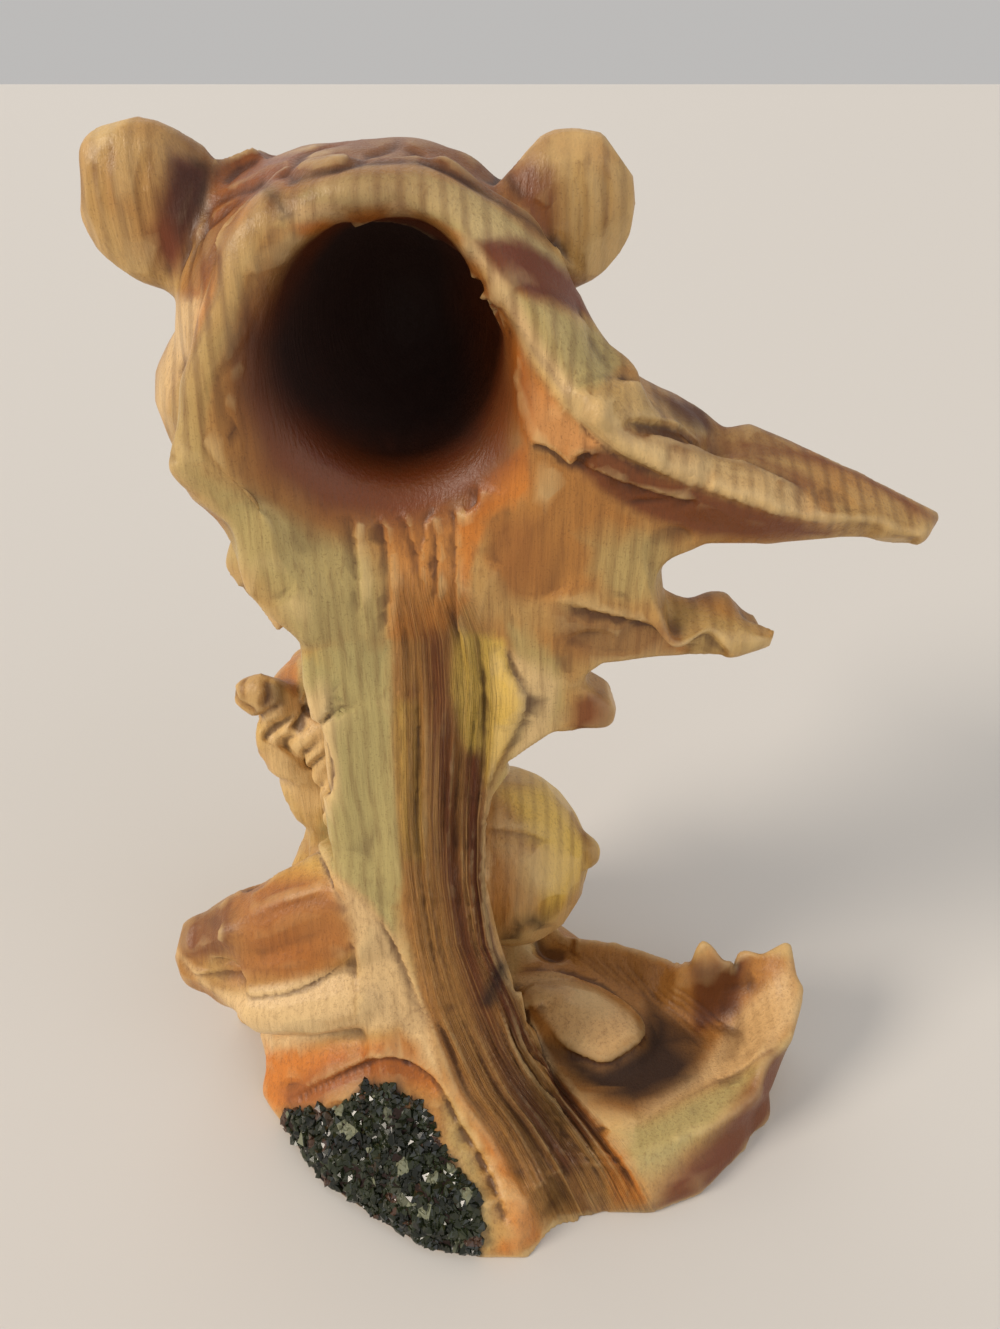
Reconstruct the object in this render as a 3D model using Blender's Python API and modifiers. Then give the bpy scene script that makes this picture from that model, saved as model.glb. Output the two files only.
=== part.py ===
"""Mother bear and cub statue, cast in one piece to look like carved driftwood.

The mother's head and her swept mantle stand on a tall splinter of trunk. Her head is a deep shell, open
at the back. The cub stands in front of the trunk, and trunk, cub and rocky foot are one casting.
The face looks along -Y, the open back along +Y, and the flat underside is at Z = 0.
The form is built up like clay: lumps, rolls, wedges and tiers are joined, skinned over and smoothed, and
the hollows are cut in between. Free-form places are written in units, 250 to the statue's height.
"""
import math

import bmesh
import bpy
from mathutils import Euler, Matrix, Vector

STATUE_HEIGHT = 0.250
UNIT = STATUE_HEIGHT / 250.0

# The mother's head
HEAD_CENTRE_X = 27.0
HEAD_WIDTH = 90.0
MUZZLE_REACH = 38.0
HOLLOW_WIDTH = 47.0
HOLLOW_HEIGHT = 54.0
HOLLOW_DEPTH = 52.0
EAR_THICKNESS = 14.0

# The cut back of the shell, a flat rim round the hollow
RIM_Y = 12.0
RIM_THICKNESS = 15.0

# The foot
FLOOR_HEIGHT = 14.0
UNDERSIDE_TRIM = 40.0

# The skin that joins the lumps
SKIN_GRAIN = 1.6
SKIN_TRIANGLES = 9300


def remove_everything():
    for old in list(bpy.data.objects):
        bpy.data.objects.remove(old)


def turned(angles):
    return Euler([math.radians(a) for a in angles]).to_matrix().to_4x4()


def lump(clay, centre, radii, turn=(0.0, 0.0, 0.0)):
    """An egg of clay: its centre and radii, turned by angles in degrees."""
    place = Matrix.Translation(centre) @ turned(turn) @ Matrix.Diagonal([*radii, 1.0])
    bmesh.ops.create_icosphere(clay, subdivisions=3, radius=1.0, matrix=place)


def along(points, steps=7):
    """Steps of a smooth curve through points that each hold a place and a radius."""
    ends = [2 * Vector(points[0]) - Vector(points[1]), *map(Vector, points),
            2 * Vector(points[-1]) - Vector(points[-2])]
    made = []
    for k in range(len(points) - 1):
        a, b, c, d = ends[k:k + 4]
        for step in range(steps + (k == len(points) - 2)):
            t = step / steps
            made.append(0.5 * (2 * b + (c - a) * t + (2 * a - 5 * b + 4 * c - d) * t ** 2
                               + (3 * b - a - 3 * c + d) * t ** 3))
    return made


def roll(clay, points, flat=1.0, turn=(0.0, 0.0, 0.0)):
    """A roll of clay along points of (x, y, z, radius), squeezed to a flat share of its depth."""
    for bead in along(points):
        radius = max(bead[3], 0.6)
        place = Matrix.Translation(bead[:3]) @ turned(turn)
        bmesh.ops.create_icosphere(clay, subdivisions=2, radius=radius,
                                   matrix=place @ Matrix.Diagonal([1.0, flat, 1.0, 1.0]))


def wedge(clay, corners):
    """The flat-faced block that the corners span."""
    made = [clay.verts.new(corner) for corner in corners]
    spanned = bmesh.ops.convex_hull(clay, input=made)
    unused = [v for v in spanned["geom_interior"] if isinstance(v, bmesh.types.BMVert)]
    bmesh.ops.delete(clay, geom=unused, context="VERTS")


def board(clay, outline, back, thickness):
    """A board with that outline in X and Z, from its back face towards -Y."""
    face = clay.faces.new([clay.verts.new((x, back, z)) for x, z in outline])
    grown = bmesh.ops.extrude_face_region(clay, geom=[face])["geom"]
    moved = [v for v in grown if isinstance(v, bmesh.types.BMVert)]
    bmesh.ops.translate(clay, verts=moved, vec=(0.0, -thickness, 0.0))


def tiers(clay, rings):
    """A form skinned over rings of as many points each, from its first ring to its last."""
    rows = [[clay.verts.new(point) for point in ring] for ring in rings]
    for low, high in zip(rows, rows[1:]):
        for k in range(len(low)):
            n = (k + 1) % len(low)
            clay.faces.new([low[k], low[n], high[n], high[k]])
    clay.faces.new(list(reversed(rows[0])))
    clay.faces.new(rows[-1])


def mother_head(clay):
    """Skull, cheeks, brow, muzzle, nose and jaw; the face looks along -Y."""
    x, half = HEAD_CENTRE_X, HEAD_WIDTH / 2
    lump(clay, (x, -26, 210), (half - 4, 42, 35))
    lump(clay, (x + 2, -25, 195), (half + 2, 33, 28))
    lump(clay, (x, -46, 214), (34, 27, 22))
    stop, nose = -62, -62 - MUZZLE_REACH
    roll(clay, [(x, stop, 201, 23), (x, (stop + nose) / 2, 197.5, 18), (x, nose + 2, 196, 14)], flat=0.9)
    roll(clay, [(x, stop - 2, 187, 18), (x, (stop + nose) / 2, 183.5, 13), (x, nose + 8, 183, 9.5)], flat=0.9)
    roll(clay, [(x, stop - 2, 216, 9), (x, (stop + nose) / 2, 209, 7.5), (x, nose, 205, 7)])
    lump(clay, (x, nose - 9, 203.5), (9.5, 6.5, 6.5))
    for side in (-1, 1):
        lump(clay, (x + side * 15, stop - 3, 218), (13, 9, 7.5), (0, side * 12, side * 24))
        lump(clay, (x + side * 17, stop - 11.5, 209.5), (4.4, 4, 4.2))
        lump(clay, (x + side * 19, stop - 5, 202), (11, 10, 8), (0, side * 20, side * 20))
        lump(clay, (x + side * 9, nose + 6, 193), (9, 13, 9.5))
        lump(clay, (x + side * 25, -43, 196), (20, 24, 22))
    roll(clay, [(50, -23, 226, 12), (60, -23, 230, 11)], flat=0.8)
    roll(clay, [(4, -23, 226, 12), (-5, -23, 229, 11)], flat=0.8)
    lump(clay, (69.5, -22, 234), (14.5, EAR_THICKNESS / 2, 16), (0, 22, 0))
    lump(clay, (-13.5, -22, 233), (13.5, EAR_THICKNESS / 2, 15), (0, -18, 0))


def mother_fur(clay):
    """Rows of pointed locks: back over the cheeks, and down the chest to the trunk."""
    x = HEAD_CENTRE_X
    for side in (-1, 1):
        for k in range(4):
            drop = 11 * k
            roll(clay, [(x + side * (33 - 2 * k), -47 + 5 * k, 200 - drop, 9),
                        (x + side * (40 - 2.5 * k), -33 + 5 * k, 190 - drop, 8),
                        (x + side * (41 - 3.5 * k), -18 + 4 * k, 175 - drop, 1.5)], flat=0.85)
    for row in range(4):
        count = 5 - row % 2
        reach = 30 - 6 * row
        top = 180 - 19 * row
        for k in range(count):
            turn = math.radians(-60 + 120 * k / (count - 1))
            across = x - 3 + 0.9 * reach * math.sin(turn)
            front = -16 + 6 * row - 0.8 * reach * math.cos(turn)
            roll(clay, [(across, front, top, 9), (across, front + 1, top - 14, 8.5), (across - 2, front + 6, top - 34, 1.5)])


def shell_rim(clay):
    """The flat rim round the hollow, and the back panel down to the short swept points on the -X side."""
    outline = [(41.5, 239), (49, 229), (55, 218), (60, 205), (64.4, 192), (62, 181), (56, 170), (50, 160),
               (43, 152.5), (44, 143.5), (41, 127), (41.5, 100), (3, 100), (2.4, 107), (-4.7, 119.7), (-13.8, 127),
               (-27, 129.5), (-26, 135), (-16.7, 140.8), (-22, 146), (-39.3, 148.2), (-60.5, 150.5),
               (-60.5, 155.5), (-42, 161.5), (-34.3, 163.5), (-35.5, 170.5), (-40.7, 175), (-54, 175), (-38, 186),
               (-22, 196), (-12, 206), (-3.6, 218), (3, 231), (12, 238), (25, 241)]
    board(clay, outline, RIM_Y - 1.5, RIM_THICKNESS - 3)
    left_side = [(41.5, 239), (49, 229), (55, 218), (60, 205), (64.4, 192), (62, 181), (56, 170), (50, 160),
                 (43, 152.5), (30, 160), (44, 175), (50, 192), (46, 210), (36, 228)]
    board(clay, left_side, RIM_Y, RIM_THICKNESS)
    roll(clay, [(-14, 3, 160, 12), (-36, 4, 156.5, 7.5), (-57, 5, 153.3, 3.6)], flat=0.8)
    roll(clay, [(-4, 4, 138, 11), (-14, 5, 134, 6.5), (-24, 5, 132.3, 3.6)], flat=0.8)
    roll(clay, [(25, -22, 180, 30), (22, -14, 158, 23), (21, -8, 135, 17), (22, -5, 105, 14), (22, -2, 75, 14)],
         flat=0.75)


def swept_hood(clay):
    """The hood over the hollow, which sweeps down to -X into one long point with a sharp back ridge."""
    stations = [((38, 12, 234), (40, 0, 243), (40, 2, 228)),
                ((26, 16, 237), (28, 4, 245), (27, 4, 232)),
                ((12, 17, 235), (10, 2, 244), (14, 4, 228)),
                ((1, 17, 225), (-6, 0, 235), (4, 5, 215)),
                ((-9, 17, 211), (-15, -2, 222), (-4, 6, 196)),
                ((-20, 17, 200), (-27, -3, 208), (-18, 7, 180)),
                ((-38, 16, 190), (-43, -3, 199), (-38, 8, 175)),
                ((-52, 15, 186), (-60, -3, 192), (-56, 8, 174)),
                ((-66, 13, 182), (-75, -3, 186), (-70, 7, 175)),
                ((-88, 7, 177.5), (-94, 0, 177.5), (-89, 4, 172.5))]
    rings = []
    for ridge, top, under in stations:
        front = 7 if ridge[0] > -60 else 3
        rings.append([ridge, top, (top[0], top[1] - front, top[2] - 2), (under[0], under[1] - 2 * front, under[2] + 3),
                      under])
    tiers(clay, rings)
    wedge(clay, [(-20, 12, 205), (-31, 2, 203.5), (-15, -2, 222), (-18, -8, 212), (-29, -8, 200), (-8, 14, 212),
                 (-27, 12, 199)])
    wedge(clay, [(-32, 13, 196), (-44, 3, 194), (-43, -3, 200), (-29, -3, 205), (-30, -8, 198), (-42, -8, 194)])


def trunk(clay):
    """The splinter of trunk, a little hollow behind its thin edges, flaring down to the foot."""
    sections = [(-4, 25, -25, 63.5), (8, 28, -20, 55), (18, 31, -14, 43), (32, 35, -8, 31), (46, 37, -4, 22.5),
                (60, 38.5, 0.5, 16.5), (76, 40, 3.5, 13.5), (93, 43, 4, 12), (109, 41.5, 2.5, 11.5),
                (127, 40, -6, 11), (143, 44, -10, 10.5), (156, 45, -4, 9)]
    profile = [(1.0, -6.5), (0.97, -1.8), (0.9, -0.6), (0.75, -1.2), (0.55, 0.5), (0.35, 0.8), (0.17, -0.6),
               (0.04, -1.6), (0.0, -6.5), (0.12, -16.0), (0.5, -22.0), (0.88, -16.0)]
    rings = []
    for height, left, right, back in sections:
        stretch = 1.0 + 2.2 * max(0.0, 1.0 - height / 60.0) ** 2
        rings.append([(right + (left - right) * share, back + depth * stretch, height) for share, depth in profile])
    tiers(clay, rings)


def cub(clay):
    """The cub stands with its rump by the trunk's -X side and its head raised past the +X side."""
    lump(clay, (-1, -22, 58), (25, 21, 31), (0, 12, 0))
    lump(clay, (20, -25, 68), (27, 21, 24), (0, -22, 0))
    lump(clay, (40, -27, 82), (20, 18, 22))
    lump(clay, (45, -32, 104), (21, 20, 18.5))
    lump(clay, (45, -37, 98), (20, 17, 13))
    roll(clay, [(45.5, -44, 101, 12.5), (46, -52, 98, 10.5), (46, -57, 97, 9)])
    lump(clay, (46, -65, 100.5), (5, 4, 3.8))
    for side in (-1, 1):
        lump(clay, (45.5 + side * 8.5, -49.5, 107), (2.8, 2.8, 2.8))
        lump(clay, (45.5 + side * 8, -45, 112), (7, 6, 4.5))
    lump(clay, (61, -19, 118), (7, 5, 7.2), (0, 25, 0))
    lump(clay, (29, -22, 120), (7, 5, 7.2), (0, -20, 0))
    lump(clay, (-25, -18, 64), (4.5, 4, 5.5), (0, 20, 0))
    roll(clay, [(54, -31, 80, 12), (60, -36, 58, 9.5), (61, -40, 42, 9)])
    roll(clay, [(34, -38, 76, 13), (32, -46, 50, 10), (31, -50, 26, 9.5)])
    lump(clay, (61, -44, 37), (10, 12, 7))
    lump(clay, (31, -56, 20), (10.5, 12, 7.5))
    lump(clay, (2, -36, 48), (18, 12, 20))
    roll(clay, [(0, -40, 40, 12), (0, -44, 26, 9.5)])
    lump(clay, (0, -52, 19), (10, 13, 7.5))
    for k in range(5):
        roll(clay, [(60 - k, -24, 107 - 7 * k, 6), (65.5 - 2.5 * k, -18, 100 - 8 * k, 5),
                    (62 - 3.5 * k, -13, 89 - 8 * k, 1.5)], flat=0.7)


FOOTPRINT = [(84, -10), (78, 6), (67, 22), (61.5, 28), (49, 43), (33, 53), (18, 61), (5, 63), (-8, 62),
             (-13, 57), (-19, 52), (-29, 51.4), (-40, 52), (-54, 47), (-69, 34), (-80, 16), (-82, 0),
             (-74, -14), (-56, -21), (-34, -30), (-10, -54), (16, -70), (44, -70), (68, -54), (80, -32)]


def inset(ring, share, centre):
    return [(centre[0] + (x - centre[0]) * share, centre[1] + (y - centre[1]) * share) for x, y in ring]


def foot(clay):
    """The rocky foot: its floor, the rock below the lobe, the smooth +X lobe and the scooped bowl."""
    middle = (4.0, 0.0)
    tiers(clay, [[(x, y, height) for x, y in inset(FOOTPRINT, share, middle)]
                 for height, share in ((-4, 1.0), (FLOOR_HEIGHT * 0.4, 0.99), (FLOOR_HEIGHT, 0.87))])
    rock(clay)
    lobe(clay)
    bowl(clay)


def rock(clay):
    """The steep rock on the +X side, from the ground to under the lobe."""
    low = [(84, -10), (78, 6), (67, 22), (61, 29), (49, 43), (33, 53), (18, 61), (0, 52), (0, -30), (44, -60),
           (72, -40)]
    waist = [(83, -9), (77, 3), (66, 17), (59, 24), (47, 36), (33, 45), (19, 51), (0, 40), (0, -28), (44, -52),
             (72, -36)]
    high = [(84, -8), (78, 0), (67, 9), (58, 14), (47, 21), (35, 27), (22, 31), (4, 28), (6, -20), (44, -40),
            (72, -26)]
    crown = [(80, -5), (74, -2), (65, 2), (56, 5), (47, 9), (36, 13), (24, 15), (10, 14), (12, -14), (44, -24),
             (68, -18)]
    tiers(clay, [[(x, y, height) for x, y in ring] for height, ring in ((-4, low), (11, waist), (27, high), (44, crown))])


def lobe(clay):
    """The smooth lobe that sweeps out to +X above the rock, with its soft folds."""
    roll(clay, [(38, 0, 62, 21), (56, 0, 55, 17), (72, 0, 47, 14), (84, 0, 42, 9.5)], flat=0.85)
    roll(clay, [(36, 6, 74, 8), (52, 7, 69, 7.5), (68, 7, 59.5, 6), (78, 6, 52, 4)])
    roll(clay, [(38, 11, 60, 6.5), (54, 11, 54, 6), (70, 9, 49, 5)])
    roll(clay, [(38, 16, 45, 9), (56, 15, 40, 9.5), (72, 10, 37, 9), (83, 3, 37, 8.5)])


def bowl(clay):
    """The bowl on the -X side: its far edge, its wall with the torn rim, and the paw in it."""
    rim = [(-10, -42, 19), (-22, -27, 20), (-40, -22, 22), (-54, -14, 24), (-57, -7, 31), (-62.5, -6, 38),
           (-66, -4, 36), (-70, -4, 38.5), (-74, -5, 37), (-81, -6, 37.5), (-86, -6, 38.5), (-86.5, 0, 35.5),
           (-88.5, 5, 33.5), (-86, 10, 31), (-83, 16, 28.5), (-79, 23, 25), (-70, 31, 20), (-56, 38, 17),
           (-40, 42, 15), (-24, 44, 13)]
    for a, b in zip(rim, rim[1:]):
        corners = []
        for x, y, z in (a, b):
            inner = Vector((x, y, 0)).lerp(Vector((-40, 8, 0)), 0.42)
            near = Vector((x, y, 0)).lerp(Vector((-40, 8, 0)), 0.13)
            corners += [(x, y, z), (near.x, near.y, z - 2.5), (inner.x, inner.y, 11), (inner.x, inner.y, 2),
                        (x * 0.94, y * 1.05, 2)]
        wedge(clay, corners)
    lump(clay, (-24, 5, 16), (20, 12, 7), (0, 0, -32))
    lump(clay, (-27, 41, 3), (12, 10, 10))


def deep_hollow(cutter):
    lump(cutter, (20, RIM_Y + 2, 211), (HOLLOW_WIDTH / 2, HOLLOW_DEPTH, HOLLOW_HEIGHT / 2))


def shallow_scoop(cutter):
    lump(cutter, (22, RIM_Y + 6, 196), (35, 14, 46))


def scoop_runout(cutter):
    lump(cutter, (21, RIM_Y + 7.5, 166), (25, 12, 52))


def ear_cups(cutter):
    lump(cutter, (71, -33, 235), (9, 8, 10.5), (0, 22, 0))
    lump(cutter, (-15, -33, 234), (8.5, 8, 10), (0, -18, 0))


def below_ground(cutter):
    place = Matrix.Translation((0, 0, -UNDERSIDE_TRIM / 2))
    bmesh.ops.create_cube(cutter, size=1.0, matrix=place @ Matrix.Diagonal((400, 400, UNDERSIDE_TRIM, 1)))


def finished(name, clay, collection):
    mesh = bpy.data.meshes.new(name)
    bmesh.ops.recalc_face_normals(clay, faces=clay.faces)
    bmesh.ops.scale(clay, vec=(UNIT, UNIT, UNIT), verts=clay.verts)
    clay.to_mesh(mesh)
    clay.free()
    made = bpy.data.objects.new(name, mesh)
    collection.objects.link(made)
    return made


def resin():
    paint = bpy.data.materials.new("Painted resin")
    paint.use_nodes = True
    shader = paint.node_tree.nodes["Principled BSDF"]
    shader.inputs["Base Color"].default_value = (0.50, 0.29, 0.11, 1.0)
    shader.inputs["Roughness"].default_value = 0.42
    shader.inputs["Metallic"].default_value = 0.0
    return paint


def skin_over(statue, name):
    skin = statue.modifiers.new(name, "REMESH")
    skin.mode = "VOXEL"
    skin.voxel_size = SKIN_GRAIN * UNIT


def cut_by(statue, shape, helpers):
    clay = bmesh.new()
    shape(clay)
    cutter = finished(shape.__name__.replace("_", " "), clay, helpers)
    cutter.hide_render = True
    cutter.display_type = "WIRE"
    cut = statue.modifiers.new("Cut the " + cutter.name, "BOOLEAN")
    cut.operation = "DIFFERENCE"
    cut.object = cutter


def finish_skin(statue, helpers):
    """Joins the clay, cuts the hollows, softens the skin, trims the underside flat and thins the mesh."""
    skin_over(statue, "Join the clay")
    for shape in (deep_hollow, shallow_scoop, scoop_runout, ear_cups):
        cut_by(statue, shape, helpers)
    skin_over(statue, "Skin the hollows")
    soft = statue.modifiers.new("Soften", "SMOOTH")
    soft.factor = 0.5
    soft.iterations = 4
    cut_by(statue, below_ground, helpers)
    thin = statue.modifiers.new("Thin the mesh", "DECIMATE")
    whole = statue.evaluated_get(bpy.context.evaluated_depsgraph_get()).data
    triangles = sum(len(face.vertices) - 2 for face in whole.polygons)
    thin.ratio = SKIN_TRIANGLES / triangles


def build():
    remove_everything()
    work = bpy.data.collections.new("Mother bear and cub statue")
    helpers = bpy.data.collections.new("Cutters")
    for made in (work, helpers):
        bpy.context.scene.collection.children.link(made)
    clay = bmesh.new()
    for shape in (mother_head, mother_fur, shell_rim, swept_hood, trunk, cub, foot):
        shape(clay)
    statue = finished("bear_and_cub", clay, work)
    statue.data.materials.append(resin())
    finish_skin(statue, helpers)


build()
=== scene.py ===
"""Mother bear and cub statue: the carving and the paint of a resin casting in the look of driftwood."""
import math
import random

import bmesh
import bpy
import numpy as np
from mathutils import Euler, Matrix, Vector
from mathutils.bvhtree import BVHTree


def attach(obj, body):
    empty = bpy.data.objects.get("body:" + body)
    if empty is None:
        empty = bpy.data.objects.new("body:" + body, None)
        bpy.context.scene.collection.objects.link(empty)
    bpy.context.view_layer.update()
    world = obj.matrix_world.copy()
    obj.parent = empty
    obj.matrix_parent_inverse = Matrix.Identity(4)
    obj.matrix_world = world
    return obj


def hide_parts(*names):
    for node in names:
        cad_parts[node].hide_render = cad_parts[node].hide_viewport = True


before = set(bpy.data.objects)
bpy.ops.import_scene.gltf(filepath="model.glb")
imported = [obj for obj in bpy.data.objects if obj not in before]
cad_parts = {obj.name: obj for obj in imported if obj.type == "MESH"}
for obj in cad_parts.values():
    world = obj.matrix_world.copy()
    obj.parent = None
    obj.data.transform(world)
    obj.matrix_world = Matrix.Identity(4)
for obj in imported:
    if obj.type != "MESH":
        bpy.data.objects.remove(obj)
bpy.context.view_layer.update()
MM = 0.001

# Viewpoint
# The photograph looks down on the statue's back from close by, through a wide lens, so that the top of the
# statue shows larger than its foot. Places on the statue are named by the pixel that they show at.
PHOTO_WIDE = 1000
PHOTO_HIGH = 1329
PHOTO_FOCAL = 955.0
PHOTO_TILT = math.radians(32.5)
PHOTO_PLACE = Vector((0.0, 187 * MM, 259 * MM))
PHOTO_TURN = Euler((math.pi / 2 - PHOTO_TILT, 0.0, math.pi))

lens = bpy.data.cameras.new("Photograph")
lens.sensor_width = 36.0
lens.lens = lens.sensor_width * PHOTO_FOCAL / PHOTO_HIGH
lens.clip_start = 5 * MM


def put_in_scene(name, data):
    """A new object in the scene, made of that mesh, lens or lamp."""
    made = bpy.data.objects.new(name, data)
    bpy.context.scene.collection.objects.link(made)
    return made


camera = put_in_scene("Photograph", lens)
camera.location = PHOTO_PLACE
camera.rotation_euler = PHOTO_TURN
bpy.context.scene.camera = camera

# The casting
# Mother, cub, trunk and foot are one casting in filled polyester resin, from a mould of a hand carving.
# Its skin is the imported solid's, drawn finer, and the carver's gouge lines and facets are worked into it.
SKIN_GRAIN = 0.8 * MM
SKIN_TRIANGLES = 194000
SKIN_SWELL = 0.45 * MM

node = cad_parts["bear_and_cub"]
clay = bmesh.new()
clay.from_mesh(node.data)
bmesh.ops.remove_doubles(clay, verts=clay.verts, dist=0.01 * MM)
solid = BVHTree.FromBMesh(clay)
skin = bpy.data.meshes.new("statue")
clay.to_mesh(skin)
clay.free()
statue = put_in_scene("statue", skin)


def apply_modifiers(piece):
    """Makes the piece's modifiers part of its mesh."""
    shown = piece.evaluated_get(bpy.context.evaluated_depsgraph_get())
    made = bpy.data.meshes.new_from_object(shown)
    piece.modifiers.clear()
    piece.data = made


skinned = statue.modifiers.new("Skin", "REMESH")
skinned.mode = "VOXEL"
skinned.voxel_size = SKIN_GRAIN
soft = statue.modifiers.new("Soften", "SMOOTH")
soft.factor = 0.5
soft.iterations = 9
apply_modifiers(statue)


def read_skin():
    """The skin's points, their normals and the pairs that its edges join."""
    mesh = statue.data
    points = np.empty(len(mesh.vertices) * 3)
    normals = np.empty(len(mesh.vertices) * 3)
    pairs = np.empty(len(mesh.edges) * 2, dtype=np.int32)
    mesh.vertices.foreach_get("co", points)
    mesh.vertices.foreach_get("normal", normals)
    mesh.edges.foreach_get("vertices", pairs)
    return points.reshape(-1, 3), normals.reshape(-1, 3), pairs.reshape(-1, 2)


place, normal, edge = read_skin()
place += normal * SKIN_SWELL
rest = place.copy()
wash = np.zeros(len(place))


def spot(u, v):
    """The point of the solid that shows at a pixel of the photograph, or None beside it."""
    ray = Vector(((u - PHOTO_WIDE / 2) / PHOTO_FOCAL, (PHOTO_HIGH / 2 - v) / PHOTO_FOCAL, -1.0))
    ray.rotate(PHOTO_TURN)
    return solid.ray_cast(PHOTO_PLACE, ray.normalized())[0]


def seen(points):
    """The pixels that points show at, as two arrays."""
    turned = (points - np.array(PHOTO_PLACE)) @ np.array(PHOTO_TURN.to_matrix())
    across = PHOTO_WIDE / 2 - PHOTO_FOCAL * turned[:, 0] / turned[:, 2]
    return across, PHOTO_HIGH / 2 + PHOTO_FOCAL * turned[:, 1] / turned[:, 2]


def curve(points, steps=4):
    """A smooth curve through points of any dimension."""
    points = np.array(points, dtype=float)
    if len(points) < 2:
        return points
    ends = np.vstack([2 * points[0] - points[1], points, 2 * points[-1] - points[-2]])
    made = []
    for k in range(len(points) - 1):
        a, b, c, d = ends[k:k + 4]
        for t in np.arange(steps) / steps:
            made.append(0.5 * (2 * b + (c - a) * t + (2 * a - 5 * b + 4 * c - d) * t ** 2
                               + (3 * b - a - 3 * c + d) * t ** 3))
    return np.array(made + [points[-1]])


def drawn(pixels, steps=4):
    """The line on the statue that shows along these pixels."""
    found = [spot(u, v) for u, v in curve(pixels, steps)]
    return [point for point in found if point is not None]


def near(line, reach):
    """The skin's points within reach of a line: which, their gaps from it, how far along, and the side."""
    line = np.array(line if len(line) > 1 else [line[0], line[0]], dtype=float)
    low, high = line.min(0) - reach, line.max(0) + reach
    close = np.flatnonzero(np.all((rest > low) & (rest < high), axis=1))
    gap = np.full(len(close), np.inf)
    share = np.zeros(len(close))
    side = np.zeros(len(close))
    for k, (a, b) in enumerate(zip(line, line[1:])):
        run = b - a
        along = np.clip((rest[close] - a) @ run / max(run @ run, 1e-12), 0, 1)
        off = rest[close] - a - along[:, None] * run
        here = np.linalg.norm(off, axis=1)
        left = np.einsum("ij,ij->i", np.cross(normal[close], run), off)
        closer = here < gap
        share = np.where(closer, (k + along) / (len(line) - 1), share)
        side = np.where(closer, np.sign(left), side)
        gap = np.where(closer, here, gap)
    inside = gap < reach
    return close[inside], gap[inside], share[inside], side[inside]


def carve(line, width, depth, runout=0.25, stain=1.0):
    """A gouge line of that width and depth, which runs out at both ends. A depth below 0 raises it."""
    if len(line) < 2:
        return
    which, gap, share, side = near(line, width / 2)
    ends = np.clip(np.minimum(share, 1 - share) / runout + 0.05, 0, 1)
    fall = (1 - gap / (width / 2)) * ends
    place[which] -= normal[which] * (depth * fall)[:, None]
    if depth > 0:
        wash[which] = np.maximum(wash[which], stain * fall)


# Millimetres over which a step's edge falls off, and the skin below it is undercut and washed.
STEP_CLIFF = 1.4
STEP_UNDERCUT = 3.5
STEP_WASH = 2.4


def step_up(pixels, width, height, raised):
    """A carved step along a line: one side stands up to it and falls off sharply there.

    Raised is 1 for the left of the line as it is drawn, and -1 for its right.
    """
    line = drawn(pixels)
    if len(line) < 2:
        return
    which, gap, share, side = near(line, width * MM)
    ends = np.clip(np.minimum(share, 1 - share) * 5 + 0.05, 0, 1)
    over = side * raised * gap / MM
    ramp = 1 - gap / (width * MM)
    cliff = np.clip(over / STEP_CLIFF + 0.5, 0, 1)
    under = np.clip(1 - gap / (STEP_UNDERCUT * MM), 0, 1)
    place[which] += normal[which] * ((ramp * cliff - 0.4 * under * (1 - cliff)) * ends * height * MM)[:, None]
    washed = np.clip(1 - gap / (STEP_WASH * MM), 0, 1)
    wash[which] = np.maximum(wash[which], 0.7 * ends * (1 - cliff) * washed)


PHOTO_RIGHT, PHOTO_UP = np.array(PHOTO_TURN.to_matrix()).T[:2]
FOOT_HIGH = 12 * MM


def grab(at, reach, pull):
    """Draws the skin round a place along by pull pixels; the place is a pixel, or x, y, z in millimetres.

    At the foot of the statue the pull runs along the floor.
    """
    centre = spot(*at) if len(at) == 2 else Vector(at) * MM
    if centre is None:
        return
    which, gap, share, side = near([centre], reach * MM)
    scale = (PHOTO_PLACE - centre).length / PHOTO_FOCAL
    up = PHOTO_UP if centre.z > FOOT_HIGH else np.array([0.0, -1.0, 0.0]) / math.sin(PHOTO_TILT)
    way = (PHOTO_RIGHT * pull[0] - up * pull[1]) * scale
    place[which] += way * ((1 - (gap / (reach * MM)) ** 2) ** 2)[:, None]


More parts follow.
